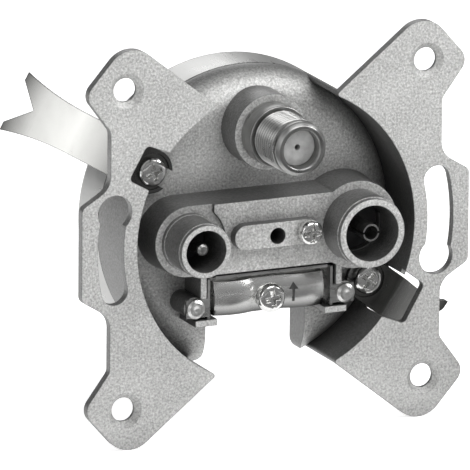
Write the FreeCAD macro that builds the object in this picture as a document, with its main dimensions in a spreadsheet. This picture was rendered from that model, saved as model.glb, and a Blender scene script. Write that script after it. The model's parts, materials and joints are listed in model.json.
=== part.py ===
import FreeCAD, Part
import math
import os
import re

import Sketcher
from FreeCAD import Placement, Rotation, Vector

# Flush-mount coaxial splitter: a die-cast support plate and can with one threaded and two push-on ports,
# a cable clamp below them and two spreading claws. X is right, Z is up, and the face looks along -Y.
# The origin lies on the can's axis, in the plane of the plate's back. A level is a distance in front of it.

SIZES = [
    ("plateThickness", 1.5, "support plate"),
    ("bumpSpan", 71.4, "width over the two side bumps"),
    ("bumpLength", 16.0, "straight edge of a side bump"),
    ("bumpFoot", 11.2, "height at which a bump meets the waist"),
    ("waistSpan", 61.0, "width over the two waists"),
    ("waistTop", 20.8, "height at which the waist ends"),
    ("earSpan", 70.6, "width over the sharp ear corners"),
    ("earHeight", 27.3, "height of the sharp ear corner"),
    ("crownSpan", 54.6, "distance between the sharp crown corners"),
    ("crownHeight", 36.4, "height of the sharp crown corner"),
    ("openingApex", 14.65, "height at which the two crown edges would meet"),
    ("bumpRadius", 1.3, "bump corner"),
    ("waistRadius", 3.5, "hollow corner at the waist"),
    ("earRadius", 2.5, "ear corner"),
    ("crownRadius", 4.8, "crown corner"),
    ("holeSpacing", 55.3, "corner hole to corner hole"),
    ("holeRadius", 2.05, "corner hole"),
    ("sinkRadius", 3.0, "countersink of a corner hole"),
    ("slotRadius", 30.45, "centre line of the keyhole slots"),
    ("slotWidth", 4.8, "keyhole slot"),
    ("slotReach", 12.8, "angle from the axis to a slot's end"),
    ("keyRadius", 3.1, "wide end of a keyhole slot"),
    ("recessRadius", 25.6, "round recess"),
    ("recessDepth", 8.4, "recess floor below the plate's face"),
    ("canWall", 0.9, "wall round the recess"),
    ("rimRound", 5.9, "rounded edge of the recess floor"),
    ("rimDepth", 6.0, "seam to the rear cover, behind the recess floor"),
    ("rimThickness", 1.1, "half the thickness of the recess floor"),
    ("spigotDepth", 1.1, "lip that centres the rear cover"),
    ("hollowRadius", 21.6, "hollow behind the recess floor"),
    ("hollowStep", 1.6, "where that hollow widens, behind its bottom"),
    ("skirtWall", 1.1, "walls beside the cable entry"),
    ("entryWidth", 18.4, "cable entry"),
    ("entryTop", 15.2, "depth of the entry's upper edge below the axis"),
    ("entryRadius", 2.2, "rounded corner of the entry at the rim"),
    ("coverWall", 0.95, "rear cover sheet"),
    ("coverBack", 22.4, "rear face of the cover"),
    ("coverChord", 15.6, "flat underside of the cover below the axis"),
    ("coverEdge", 1.6, "rounded rear edge of the cover"),
    ("jointGap", 0.15, "seam between floor and cover"),
    ("fitGap", 0.05, "radial clearance of seated pieces"),
    ("threadHeight", 17.2, "threaded port above the axis"),
    ("threadBossRadius", 6.55, "boss under the threaded port"),
    ("threadBossDepth", 2.9, "boss face below the plate's face"),
    ("collarRadius", 5.35, "plain collar of the barrel"),
    ("collarReach", 0.8, "collar in front of the plate's face"),
    ("threadRadius", 4.76, "outside of the thread"),
    ("threadReach", 9.9, "barrel in front of the plate's face"),
    ("threadChamfer", 0.45, "lead-in of the barrel"),
    ("barrelBore", 3.2, "bore of the barrel"),
    ("barrelSpigot", 4.2, "barrel end held in the boss"),
    ("plugRecess", 1.9, "insulator below the barrel's end"),
    ("coreHole", 0.5, "hole for the plug's centre wire"),
    ("portSpacing", 30.7, "push-on port to push-on port"),
    ("platformRadius", 6.5, "platform end at the plug port, half its height"),
    ("socketBossRadius", 7.95, "platform end at the socket port"),
    ("platformDepth", 1.2, "platform face below the plate's face"),
    ("plugDiscRadius", 6.45, "lower disc round the plug port"),
    ("plugDiscStep", 0.6, "step down to that disc"),
    ("plugDiscEdge", 11.0, "edge of the step beside the axis"),
    ("draftAngle", 3.0, "draft of the cast bosses"),
    ("padHalf", 7.9, "half length of the raised pad"),
    ("padWidth", 4.35, "width of the raised pad"),
    ("padShift", 0.22, "raised pad above the axis"),
    ("padHeight", 1.7, "raised pad above the platform"),
    ("coverHoleRadius", 1.4, "tapped hole for a front cover"),
    ("coverHoleDepth", 7.2, "depth of that hole"),
    ("plugRadius", 4.75, "outside of the plug port"),
    ("plugRingRadius", 4.55, "turned end of the plug port"),
    ("plugFootRadius", 4.95, "foot of the plug port"),
    ("plugBore", 3.65, "inside of the plug port"),
    ("plugReach", 5.4, "plug port in front of the plate's face"),
    ("plugBoreDepth", 6.0, "plug port bore below the plate's face"),
    ("socketRadius", 6.2, "outside of the socket port"),
    ("socketRingRadius", 5.95, "turned end of the socket port"),
    ("socketBore", 4.85, "inside of the socket port"),
    ("socketReach", 5.2, "socket port in front of the plate's face"),
    ("socketBoreDepth", 5.6, "socket port bore below the plate's face"),
    ("ringLength", 0.8, "length of the turned ends"),
    ("feedRadius", 2.6, "feed-through holes in the floor"),
    ("pinRadius", 1.15, "plug port pin"),
    ("pinReach", 4.5, "pin in front of the plate's face"),
    ("insulatorThickness", 2.4, "insulator disc in a port"),
    ("sleeveRadius", 1.5, "socket contact"),
    ("sleeveBore", 1.2, "bore of the socket contact"),
    ("sleeveReach", 4.7, "socket contact in front of the plate's face"),
    ("sleeveSlit", 0.4, "slits of the socket contact"),
    ("sleeveSlitDepth", 6.5, "length of those slits"),
    ("springWall", 0.25, "spring ring in the socket port"),
    ("springWidth", 1.3, "spring ring along the axis"),
    ("tailRadius", 0.5, "contact tails that reach the board"),
    ("padScrewOffset", 5.7, "pad screw beside the axis"),
    ("padScrewHead", 2.15, "pad screw head"),
    ("padScrewHeight", 1.9, "pad screw head height"),
    ("padScrewShank", 1.0, "pad screw shank"),
    ("padScrewLength", 4.5, "pad screw under its head"),
    ("recessSlot", 0.75, "arm of a cross recess"),
    ("recessReach", 1.35, "half span of a cross recess"),
    ("recessCut", 0.8, "depth of a cross recess"),
    ("clawAngle", 150.36, "direction of the upper claw"),
    ("clawScrewRadius", 23.06, "claw screw from the can's axis"),
    ("clawWidth", 7.6, "claw strip"),
    ("clawSheet", 0.9, "claw sheet"),
    ("clawDepth", 6.75, "claw strip below the plate's face"),
    ("clawBendStart", 5.6, "claw bend from its screw"),
    ("clawBendRadius", 1.6, "claw bend, middle of the sheet"),
    ("clawTurn", 37.7, "turn of the claw's bend"),
    ("clawLeg", 20.0, "claw leg behind the bend"),
    ("clawTailWidth", 10.8, "claw over its two prongs"),
    ("clawTailNotch", 3.7, "notch between the prongs"),
    ("clawFlare", 11.5, "length of the flared part"),
    ("clawSide", 0.2, "play beside the claw strip"),
    ("clawSwivel", 7.6, "turn of the lower claw about its screw"),
    ("notchReach", 6.6, "plate notch beyond the claw's screw"),
    ("notchEnd", 3.75, "half width of a notch at its end"),
    ("notchMouth", 4.7, "half width of a notch where it meets the recess"),
    ("notchNarrow", 2.85, "lower side of the upper notch beside its screw"),
    ("notchRadius", 0.9, "outer corners of a notch"),
    ("tipRadius", 0.5, "lobe tip at the recess"),
    ("seatRadius", 3.2, "seat for a claw screw's head"),
    ("seatDepth", 0.4, "depth of that seat"),
    ("clawScrewHead", 2.5, "claw screw head"),
    ("clawScrewHeight", 1.5, "claw screw head height"),
    ("clawScrewShank", 1.45, "claw screw shank"),
    ("clawScrewLength", 11.5, "claw screw under its head"),
    ("threadPlay", 0.05, "radial play of a screw in its hole"),
    ("clawBossRadius", 3.2, "boss under a claw"),
    ("frameSheet", 0.5, "clamp frame sheet"),
    ("frameHalf", 11.6, "half width of the clamp frame"),
    ("frameTop", 7.1, "upper edge of the clamp frame below the axis"),
    ("frameBottom", 14.0, "lower edge of the clamp frame below the axis"),
    ("frameRise", 1.9, "frame flange below the plate's face"),
    ("wallDepth", 1.9, "clamp side walls below the plate's face"),
    ("wallInner", 11.95, "inside of the clamp side walls"),
    ("wallWidth", 1.1, "clamp side walls"),
    ("earDepth", 2.35, "rivet ears below the plate's face"),
    ("earHalf", 1.6, "half width of a rivet ear"),
    ("rivetOffset", 13.85, "rivets beside the axis"),
    ("rivetDrop", 12.0, "rivets below the axis"),
    ("rivetShank", 0.9, "rivet shank"),
    ("rivetHead", 1.65, "rivet head"),
    ("rivetHeight", 0.8, "rivet head height"),
    ("rivetPost", 1.9, "cast post under a rivet"),
    ("footLength", 4.0, "foot blocks of the clamp walls"),
    ("footWidth", 1.1, "foot blocks of the clamp walls"),
    ("saddleHalf", 10.1, "half width of the saddle"),
    ("saddleTop", 8.0, "upper edge of the saddle below the axis"),
    ("saddleBottom", 13.85, "lower edge of the saddle below the axis"),
    ("saddleSheet", 0.8, "saddle sheet"),
    ("saddleDepth", 2.7, "saddle face below the plate's face"),
    ("saddleFlat", 2.9, "half width of the saddle's flat"),
    ("saddleRise", 0.7, "bulge over each cable"),
    ("saddleLip", 2.1, "turned-in ends of the saddle"),
    ("clampScrewDrop", 11.4, "clamp screw below the axis"),
    ("clampScrewHead", 2.5, "clamp screw head"),
    ("clampScrewHeight", 1.7, "clamp screw head height"),
    ("clampScrewShank", 1.45, "clamp screw shank"),
    ("clampScrewLength", 14.5, "clamp screw under its head"),
    ("terminalHalf", 7.2, "half width of the terminal chamber"),
    ("terminalDepth", 3.9, "terminal chamber below the plate's face"),
    ("terminalTop", 2.6, "terminal chamber's upper end below the axis"),
    ("coreOffset", 4.5, "cable cores beside the axis"),
    ("coreRadius", 0.9, "lead-in holes for the cable cores"),
    ("contactWidth", 1.6, "terminal contacts"),
    ("boardRadius", 19.3, "circuit board"),
    ("boardChord", 8.7, "lower edge of the board below the axis"),
    ("boardThickness", 1.5, "circuit board"),
    ("boardFront", 11.2, "front of the board behind the plate's back"),
    ("postRadius", 1.5, "board posts"),
    ("postOffset", 12.0, "board posts beside the axis"),
    ("postHeight", 9.5, "upper board posts above the axis"),
    ("postDrop", 6.0, "lower board posts below the axis"),
    ("solderReach", 0.6, "contact tails beyond the board"),
    ("coreLength", 7.0, "splitter core"),
    ("coreHeight", 4.6, "splitter core"),
    ("coreDepth", 3.6, "splitter core"),
    ("coreBore", 0.85, "bores of the splitter core"),
    ("ringOuter", 3.3, "coupler core"),
    ("ringInner", 1.4, "coupler core"),
    ("ringHeight", 2.8, "coupler core"),
    ("wireRadius", 0.28, "winding wire"),
    ("coilRadius", 1.5, "air coil"),
    ("coilPitch", 0.56, "air coil"),
    ("coilPlace", 10.0, "air coil beside the axis"),
    ("discRadius", 1.9, "ceramic capacitors"),
    ("discThickness", 1.1, "ceramic capacitors"),
]

doc = FreeCAD.newDocument("CoaxialSplitter")
sheet = doc.addObject("Spreadsheet::Sheet", "Sizes")
for row, (alias, number, note) in enumerate(SIZES, start=1):
    sheet.set(f"A{row}", note)
    sheet.set(f"B{row}", str(number))
    sheet.setAlias(f"B{row}", alias)
doc.recompute()
ALIASES = {alias for alias, number, note in SIZES}
FACE = "plateThickness"
FLOOR = "(plateThickness - recessDepth)"
BACK = "(plateThickness - recessDepth - 2 * rimThickness)"
SEAM = "(plateThickness - recessDepth - rimDepth)"
CAN = "(recessRadius + canWall)"
parts = []


def sized(text):
    """Names the sheet in front of every size in an expression."""
    return re.sub(r"[A-Za-z]\w*", lambda word: "Sizes." + word[0] if word[0] in ALIASES else word[0], str(text))


def value(text):
    return float(sheet.evalExpression(str(text)))


def bind(item, prop, text):
    item.setExpression(prop, sized(text))


def plane(body, role):
    return next(feature for feature in body.Origin.OriginFeatures if feature.Role == role)


def sketch_on(body, name, role="XZ_Plane", level="0"):
    sketch = body.newObject("Sketcher::SketchObject", name)
    sketch.AttachmentSupport = [(plane(body, role), "")]
    sketch.MapMode = "FlatFace"
    bind(sketch, "AttachmentOffset.Base.z", level)
    return sketch


def dimension(sketch, kind, where, text):
    number = sketch.addConstraint(Sketcher.Constraint(kind, *where, value(text)))
    bind(sketch, f"Constraints[{number}]", text)


def place(sketch, index, corner, x, y):
    dimension(sketch, "DistanceX", (-1, 1, index, corner), x)
    dimension(sketch, "DistanceY", (-1, 1, index, corner), y)


def circle(sketch, x, y, radius):
    centre = Vector(value(x), value(y), 0)
    index = sketch.addGeometry(Part.Circle(centre, Vector(0, 0, 1), value(radius)))
    place(sketch, index, 3, x, y)
    dimension(sketch, "Radius", (index,), radius)


def outline(sketch, corners):
    """Closed outline through corners (x, y), where (x, y, radius, turn) arrives on an arc.

    The turn is 1 for an arc that runs anticlockwise and -1 for one that runs clockwise. A radius of None
    makes the arc a half circle.
    """
    ends = []
    for number, corner in enumerate(corners):
        before = corners[number - 1]
        start = Vector(value(before[0]), value(before[1]), 0)
        end = Vector(value(corner[0]), value(corner[1]), 0)
        if len(corner) == 2:
            index = sketch.addGeometry(Part.LineSegment(start, end))
            ends.append((index, 1, 2))
            continue
        half = (end - start).Length / 2
        radius = half if corner[2] is None else value(corner[2])
        side = Vector(start.y - end.y, end.x - start.x, 0).normalize() * corner[3]
        centre = (start + end) / 2 + side * math.sqrt(max(radius**2 - half**2, 0))
        rim = Part.Circle(centre, Vector(0, 0, 1), radius)
        pair = (start, end) if corner[3] > 0 else (end, start)
        index = sketch.addGeometry(Part.ArcOfCircle(rim, *(rim.parameter(point) for point in pair)))
        ends.append((index, 1, 2) if corner[3] > 0 else (index, 2, 1))
        if corner[2] is not None:
            dimension(sketch, "Radius", (index,), corner[2])
        elif abs(start.x - end.x) < abs(start.y - end.y):
            dimension(sketch, "DistanceX", (-1, 1, index, 3), f"(({before[0]}) + ({corner[0]})) / 2")
        else:
            dimension(sketch, "DistanceY", (-1, 1, index, 3), f"(({before[1]}) + ({corner[1]})) / 2")
    for number, corner in enumerate(corners):
        index, _, arrives = ends[number]
        following, leaves, _ = ends[(number + 1) % len(corners)]
        sketch.addConstraint(Sketcher.Constraint("Coincident", index, arrives, following, leaves))
        place(sketch, index, arrives, corner[0], corner[1])


def rectangle(sketch, left, bottom, right, top):
    outline(sketch, [(left, bottom), (right, bottom), (right, top), (left, top)])


def stadium(sketch, left, right, low, high):
    """Outline with round ends, whose end arcs start at left and right."""
    outline(sketch, [(left, low, None, 1), (right, low), (right, high, None, 1), (left, high)])


def flat_circle(sketch, radius, chord):
    """Circle about the axis, cut off flat at a chord below it."""
    reach = f"sqrt(({radius})^2 - ({chord})^2)"
    corners = [(reach, f"-({chord})"), ("0", radius, radius, 1), (f"-{reach}", f"-({chord})", radius, 1)]
    outline(sketch, corners)


def beside_screw(side, angle, points):
    """Corners that are given along and across a claw's direction, from its screw."""
    return [(f"{side} * {CLAW_X} + ({along}) * cos({angle}) - ({across}) * sin({angle})",
             f"{side} * {CLAW_Z} + ({along}) * sin({angle}) + ({across}) * cos({angle})")
            for along, across in points]


def pad(body, sketch, length, back=False, taper=None, middle=False):
    feature = body.newObject("PartDesign::Pad", sketch.Name + "Pad")
    feature.Profile = sketch
    feature.Reversed = back
    feature.Midplane = middle
    bind(feature, "Length", length)
    if taper:
        bind(feature, "TaperAngle", taper)
    doc.recompute()
    return feature


def pocket(body, sketch, length, front=False, middle=False):
    """Cuts away from the sketch, to the back unless front is set, and checks that it does cut."""
    before = body.Shape.Volume
    feature = body.newObject("PartDesign::Pocket", sketch.Name + "Pocket")
    feature.Profile = sketch
    feature.Reversed = front
    feature.Midplane = middle
    bind(feature, "Length", length)
    doc.recompute()
    if body.Shape.Volume >= before:
        raise RuntimeError(f"{sketch.Name} cuts nothing")
    return feature


def round_edges(body, radius, chosen, kind="Fillet"):
    """Rounds or chamfers the edges that the test picks."""
    tip = body.Tip
    names = [f"Edge{number}" for number, edge in enumerate(tip.Shape.Edges, start=1) if chosen(edge)]
    feature = body.newObject(f"PartDesign::{kind}", f"{body.Name}{kind}")
    feature.Base = (tip, names)
    bind(feature, "Radius" if kind == "Fillet" else "Size", radius)
    doc.recompute()
    return feature


def stands_at(corners, tolerance=0.02):
    """Test for edges that run along Y at one of the corners."""
    spots = [(value(x), value(z)) for x, z in corners]

    def test(edge):
        first, last = edge.Vertexes[0].Point, edge.Vertexes[-1].Point
        if math.hypot(first.x - last.x, first.z - last.z) > tolerance or first == last:
            return False
        return any(math.hypot(first.x - x, first.z - z) < tolerance for x, z in spots)

    return test


def new_body(name, x="0", y="0", z="0"):
    body = doc.addObject("PartDesign::Body", name)
    body.Label = name
    for axis, text in (("x", x), ("y", y), ("z", z)):
        if text != "0":
            bind(body, f"Placement.Base.{axis}", text)
    parts.append(body)
    return body


def revolve(body, name, profile):
    """Adds what a profile of (radius, y) corners sweeps about the body's Y axis."""
    sketch = sketch_on(body, name + "Profile", role="XY_Plane")
    outline(sketch, profile)
    feature = body.newObject("PartDesign::Revolution", name + "Turned")
    feature.Profile = sketch
    feature.ReferenceAxis = (sketch, ["V_Axis"])
    feature.Angle = 360
    doc.recompute()


def turned(name, profile, x="0", y="0", z="0"):
    """Piece turned about an axis along Y."""
    body = new_body(name, x, y, z)
    revolve(body, name, profile)
    return body


def ahead(reach):
    """Y of a place that lies in front of the plate's face."""
    return f"(-(plateThickness + {reach}))"


def behind(depth):
    """Y of a place that lies behind the plate's face."""
    return f"({depth} - plateThickness)"


def circles(body, name, level, spots):
    sketch = sketch_on(body, name, level=level)
    for x, z, radius in spots:
        circle(sketch, x, z, radius)
    return sketch


PLUG_X = "(-portSpacing / 2)"
SOCKET_X = "(portSpacing / 2)"
CLAW_BACK = "(clawDepth + clawSheet + fitGap)"
CLAW_X = "(clawScrewRadius * cos(clawAngle))"
CLAW_Z = "(clawScrewRadius * sin(clawAngle))"
LOWER_CLAW = "(clawAngle - 180 - clawSwivel)"
CONTACT_Z = "(-(terminalTop + platformRadius) / 2 + contactWidth / 4)"
BOARD_BACK = "(boardFront + boardThickness)"
TAIL_END = "(boardFront + boardThickness + solderReach)"
BOTH = (1, -1)


def plate_corners():
    """Right half of the plate's outline from the upper apex to the lower one, as sharp corners."""
    upper = [
        ("bumpSpan / 2", "bumpLength / 2"),
        ("waistSpan / 2", "bumpFoot"),
        ("waistSpan / 2", "waistTop"),
        ("earSpan / 2", "earHeight"),
        ("crownSpan / 2", "crownHeight"),
    ]
    lower = [(x, f"-({z})") for x, z in upper]
    return upper, lower


def add_plate(body):
    upper, lower = plate_corners()
    right = [("0", "-openingApex")] + lower[::-1] + upper
    left = [("0", "openingApex")] + [(f"-({x})", z) for x, z in upper[::-1] + lower]
    sketch = sketch_on(body, "plate")
    outline(sketch, right + left)
    pad(body, sketch, "plateThickness")
    radii = ("bumpRadius", "waistRadius", "waistRadius / 2", "earRadius", "crownRadius")
    for radius, (x, z) in zip(radii, upper):
        corners = [(f"{a} * ({x})", f"{b} * ({z})") for a in BOTH for b in BOTH]
        round_edges(body, radius, stands_at(corners))


def add_can(body):
    """Recess wall, cut flush with the lobes above and below, and the rounded floor with its hollow."""
    wall = circles(body, "wall", "0", [("0", "0", CAN), ("0", "0", "recessRadius")])
    pad(body, wall, f"-{SEAM}", back=True)
    recess = circles(body, "recess", FACE, [("0", "0", "recessRadius")])
    pocket(body, recess, "plateThickness")
    opening = sketch_on(body, "openings")
    for side in BOTH:
        far = f"{side} * (openingApex + 1.5 * (crownHeight - openingApex))"
        corners = [("0", f"{side} * openingApex"), ("0.75 * crownSpan", far), ("-0.75 * crownSpan", far)]
        outline(opening, corners)
    pocket(body, opening, f"-{SEAM}")
    slope = "((crownHeight - openingApex) / (crownSpan / 2))"
    tip = f"((sqrt(recessRadius^2 * (1 + {slope}^2) - openingApex^2) - {slope} * openingApex) / (1 + {slope}^2))"
    tips = [(f"{a} * {tip}", f"{b} * (openingApex + {slope} * {tip})") for a in BOTH for b in BOTH]
    edge, top = f"({CAN} - fitGap)", f"(-{FLOOR})"
    revolve(body, "floor", [
        ("0", top), (f"{edge} - rimRound", top), (edge, f"{top} + rimRound", "rimRound", 1),
        (edge, f"-{SEAM}"), ("0", f"-{SEAM}"),
    ])
    round_edges(body, "tipRadius", stands_at(tips))
    add_hollow(body)


def add_hollow(body):
    """Lip for the rear cover, hollow behind the floor, and the cable entry between its two walls."""
    chord = "(coverChord - coverWall - 2 * fitGap)"
    lip = sketch_on(body, "lip", level=SEAM)
    flat_circle(lip, f"{CAN} - coverWall - 2 * fitGap", chord)
    pad(body, lip, "spigotDepth", back=True)
    wide, inner, top = f"({CAN} - 2 * skirtWall)", "(entryWidth / 2 + skirtWall)", "(coverChord + 2 * jointGap)"
    hollow = sketch_on(body, "hollow", level=BACK)
    flat_circle(hollow, "hollowRadius", f"{chord} - skirtWall")
    pocket(body, hollow, "rimDepth - rimThickness")
    wider = sketch_on(body, "widerHollow", level=f"{BACK} - hollowStep")
    flat_circle(wider, wide, f"{chord} - skirtWall")
    pocket(body, wider, "rimDepth - rimThickness - hollowStep")
    beside = sketch_on(body, "besideEntry", level=f"{BACK} - hollowStep")
    for side in BOTH:
        outline(beside, [
            (f"{side} * {inner}", f"-{top}"), (f"{side} * {inner}", f"-sqrt({wide}^2 - {inner}^2)"),
            (f"{side} * sqrt({wide}^2 - {top}^2)", f"-{top}", wide, side),
        ])
    pocket(body, beside, "rimDepth - rimThickness - hollowStep")
    entry = sketch_on(body, "entry", level=FLOOR)
    half, flared = "(entryWidth / 2)", "(entryWidth / 2 + entryRadius)"
    mouth = f"(sqrt({CAN}^2 - {flared}^2) - 0.8 * entryRadius)"
    outline(entry, [
        (f"-{half}", f"-{mouth}", "entryRadius", 1), (f"-{half}", "-entryTop"), (half, "-entryTop"),
        (half, f"-{mouth}"), (flared, f"-{mouth} - entryRadius", "entryRadius", 1),
        (flared, f"-1.1 * {CAN}"), (f"-{flared}", f"-1.1 * {CAN}"), (f"-{flared}", f"-{mouth} - entryRadius"),
    ])
    pocket(body, entry, "rimDepth")


def add_platform(body):
    """Drafted island that carries the two push-on ports and the raised pad between them."""
    rise = "recessDepth - platformDepth"
    middle = sketch_on(body, "platform", level=FLOOR)
    rectangle(middle, PLUG_X, "-platformRadius", SOCKET_X, "platformRadius")
    pad(body, middle, rise, taper="-draftAngle")
    plug_end = circles(body, "plugEnd", FLOOR, [(PLUG_X, "0", "platformRadius")])
    pad(body, plug_end, f"{rise} - plugDiscStep", taper="-draftAngle")
    socket_end = circles(body, "socketEnd", FLOOR, [(SOCKET_X, "0", "socketBossRadius")])
    pad(body, socket_end, rise, taper="-draftAngle")
    step = circles(body, "plugDisc", "plateThickness - platformDepth", [(PLUG_X, "0", "plugDiscRadius")])
    pocket(body, step, "plugDiscStep")
    beside = sketch_on(body, "plugDiscSide", level="plateThickness - platformDepth")
    rectangle(beside, f"{PLUG_X} - platformRadius", "-1.1 * platformRadius", "-plugDiscEdge", "1.1 * platformRadius")
    pocket(body, beside, "plugDiscStep")
    raised = sketch_on(body, "raisedPad", level="plateThickness - platformDepth")
    low, high = "padShift - padWidth / 2", "padShift + padWidth / 2"
    stadium(raised, "-padHalf + padWidth / 2", "padHalf - padWidth / 2", low, high)
    pad(body, raised, "padHeight")


def add_port(body, name, x, foot_level, radii, reach, bore, bore_depth):
    """Round port shell with a turned end and a blind bore."""
    foot, outside, ring = radii
    base = circles(body, name + "Foot", foot_level, [(x, "0", foot)])
    pad(body, base, "ringLength")
    shell = circles(body, name + "Shell", foot_level, [(x, "0", outside)])
    pad(body, shell, f"plateThickness + {reach} - ringLength - ({foot_level})")
    end = circles(body, name + "Ring", f"plateThickness + {reach} - ringLength", [(x, "0", ring)])
    pad(body, end, "ringLength")
    inside = circles(body, name + "Bore", f"plateThickness + {reach}", [(x, "0", bore)])
    pocket(body, inside, f"{reach} + {bore_depth}")


def add_clamp_seat(body):
    """Side walls, feet and rivet posts of the cable clamp, cast onto the recess floor."""
    ear_level = "plateThickness - earDepth - frameSheet"
    low = sketch_on(body, "clampWalls", level=FLOOR)
    high = sketch_on(body, "clampWallTops", level=ear_level)
    feet = sketch_on(body, "clampFeet", level=FLOOR)
    for side in BOTH:
        near, far = f"{side} * wallInner", f"{side} * (wallInner + wallWidth)"
        rectangle(low, near, "-frameBottom + earHalf / 2", far, "-platformRadius + 0.5")
        rectangle(high, near, "-rivetDrop + earHalf + 3 * fitGap", far, "-platformRadius + 0.5")
        foot_near = f"{side} * (wallInner - footLength / 2)"
        foot_far = f"{side} * (wallInner + footLength / 2)"
        rectangle(feet, foot_near, "-frameBottom - footWidth - fitGap", foot_far, "-frameBottom - fitGap")
    pad(body, low, f"{ear_level} - {FLOOR}")
    pad(body, high, "earDepth + frameSheet - wallDepth")
    pad(body, feet, "recessDepth - wallDepth")
    spots = [(f"{side} * rivetOffset", "-rivetDrop", "rivetPost") for side in BOTH]
    pad(body, circles(body, "rivetPosts", FLOOR, spots), f"{ear_level} - {FLOOR}")


def add_claw_seats(body):
    """Plate notch, window in the wall and threaded boss for each claw."""
    windows = sketch_on(body, "clawWindows")
    notches = sketch_on(body, "clawNotches", level=FACE)
    ends = []
    for side, angle, strip, low in ((1, "clawAngle", "clawAngle", "notchNarrow"),
                                    (-1, "(clawAngle - 180)", LOWER_CLAW, "notchMouth")):
        half, far = "(clawWidth / 2 + clawSide)", f"({CAN} - clawScrewRadius + clawWidth / 3)"
        window = [("-clawSide", f"-{half}"), (far, f"-{half}"), (far, half), ("-clawSide", half)]
        outline(windows, beside_screw(side, strip, window))
        outer = "notchEnd" if low == "notchMouth" else "notchNarrow"
        notch = [("-clawSide", "-notchMouth"), ("notchReach", "-notchEnd"), ("notchReach", outer), ("-clawSide", low)]
        corners = beside_screw(side, angle, notch)
        outline(notches, corners)
        ends += corners[1:3]
    pocket(body, windows, f"{CLAW_BACK} - plateThickness")
    pocket(body, notches, "plateThickness")
    round_edges(body, "notchRadius", stands_at(ends))
    spots = [(f"{side} * {CLAW_X}", f"{side} * {CLAW_Z}", "clawBossRadius") for side in BOTH]
    bosses = circles(body, "clawBosses", f"plateThickness - {CLAW_BACK}", spots)
    pad(body, bosses, f"recessDepth + rimDepth - {CLAW_BACK}", back=True)


def add_plate_holes(body):
    spots = [(f"{a} * holeSpacing / 2", f"{b} * holeSpacing / 2", "holeRadius") for a in BOTH for b in BOTH]
    pocket(body, circles(body, "cornerHoles", FACE, spots), "plateThickness")
    front = -value("plateThickness")

    def mouth(edge):
        rim = edge.Curve
        return (isinstance(rim, Part.Circle) and abs(rim.Center.y - front) < 0.01
                and abs(rim.Radius - value("holeRadius")) < 0.01)

    round_edges(body, "sinkRadius - holeRadius", mouth, kind="Chamfer")
    slots = sketch_on(body, "slots", level=FACE)
    wide = []
    for side in BOTH:
        outer, inner = "(slotRadius + slotWidth / 2)", "(slotRadius - slotWidth / 2)"
        ends = [(f"{side} * {radius} * cos(slotReach)", f"{side} * ({sign} {radius} * sin(slotReach))")
                for radius, sign in ((outer, "-1 *"), (outer, ""), (inner, ""), (inner, "-1 *"))]
        outline(slots, [(*ends[0], None, 1), (*ends[1], outer, 1), (*ends[2], None, 1), (*ends[3], inner, -1)])
        wide.append((f"{side} * slotRadius * cos(slotReach)", f"-{side} * slotRadius * sin(slotReach)", "keyRadius"))
    pocket(body, slots, "plateThickness")
    pocket(body, circles(body, "slotKeys", FACE, wide), "plateThickness")


def housing():
    """Die-cast plate, can and port shells in one piece."""
    body = new_body("housing")
    add_plate(body)
    add_can(body)
    roots = [("0", "threadHeight", "threadBossRadius"), (PLUG_X, "0", "platformRadius"),
             (SOCKET_X, "0", "socketBossRadius")]
    pad(body, circles(body, "bossRoots", FLOOR, roots), "rimThickness", back=True)
    boss = circles(body, "threadBoss", FLOOR, [("0", "threadHeight", "threadBossRadius")])
    pad(body, boss, "recessDepth - threadBossDepth")
    add_platform(body)
    add_port(body, "plug", PLUG_X, "plateThickness - platformDepth - plugDiscStep",
             ("plugFootRadius", "plugRadius", "plugRingRadius"), "plugReach", "plugBore", "plugBoreDepth")
    add_port(body, "socket", SOCKET_X, "plateThickness - platformDepth",
             ("socketRadius", "socketRadius", "socketRingRadius"), "socketReach", "socketBore", "socketBoreDepth")
    add_clamp_seat(body)
    chamber = sketch_on(body, "terminalChamber", level="plateThickness - terminalDepth")
    rectangle(chamber, "-terminalHalf", "-platformRadius - 0.5", "terminalHalf", "-terminalTop")
    pocket(body, chamber, "recessDepth - terminalDepth")
    add_claw_seats(body)
    add_plate_holes(body)
    through = [("0", "threadHeight", "barrelSpigot + fitGap"), (PLUG_X, "0", "feedRadius"),
               (SOCKET_X, "0", "feedRadius"), ("0", "-clampScrewDrop", "clampScrewShank + threadPlay")]
    feeds = circles(body, "floorHoles", FACE, through)
    pocket(body, feeds, f"plateThickness - {BACK}")
    claw_holes = [(f"{side} * {CLAW_X}", f"{side} * {CLAW_Z}", "clawScrewShank + threadPlay") for side in BOTH]
    pocket(body, circles(body, "clawHoles", FACE, claw_holes), "recessDepth + rimDepth + spigotDepth")
    tails = [(f"{side} * coreOffset", CONTACT_Z, "contactWidth / 2 + 4 * fitGap") for side in BOTH]
    pocket(body, circles(body, "tailHoles", FLOOR, tails), "2 * rimThickness")
    blind = circles(body, "coverHole", "plateThickness + padHeight - platformDepth", [("0", "0", "coverHoleRadius")])
    pocket(body, blind, "coverHoleDepth")
    screw_spot = [("padScrewOffset", "padShift", "padScrewShank + fitGap")]
    screw_hole = circles(body, "padScrewHole", "plateThickness + padHeight - platformDepth", screw_spot)
    pocket(body, screw_hole, "padScrewLength + 4 * fitGap")
    rivets = [(f"{side} * rivetOffset", "-rivetDrop", "rivetShank + fitGap") for side in BOTH]
    rivet_holes = circles(body, "rivetHoles", "plateThickness - earDepth - frameSheet", rivets)
    pocket(body, rivet_holes, "recessDepth - earDepth - frameSheet")
    posts = [(f"{side} * postOffset", z, "postRadius") for side in BOTH for z in ("postHeight", "-postDrop")]
    pad(body, circles(body, "boardPosts", BACK, posts), f"boardFront + {BACK}", back=True)


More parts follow.
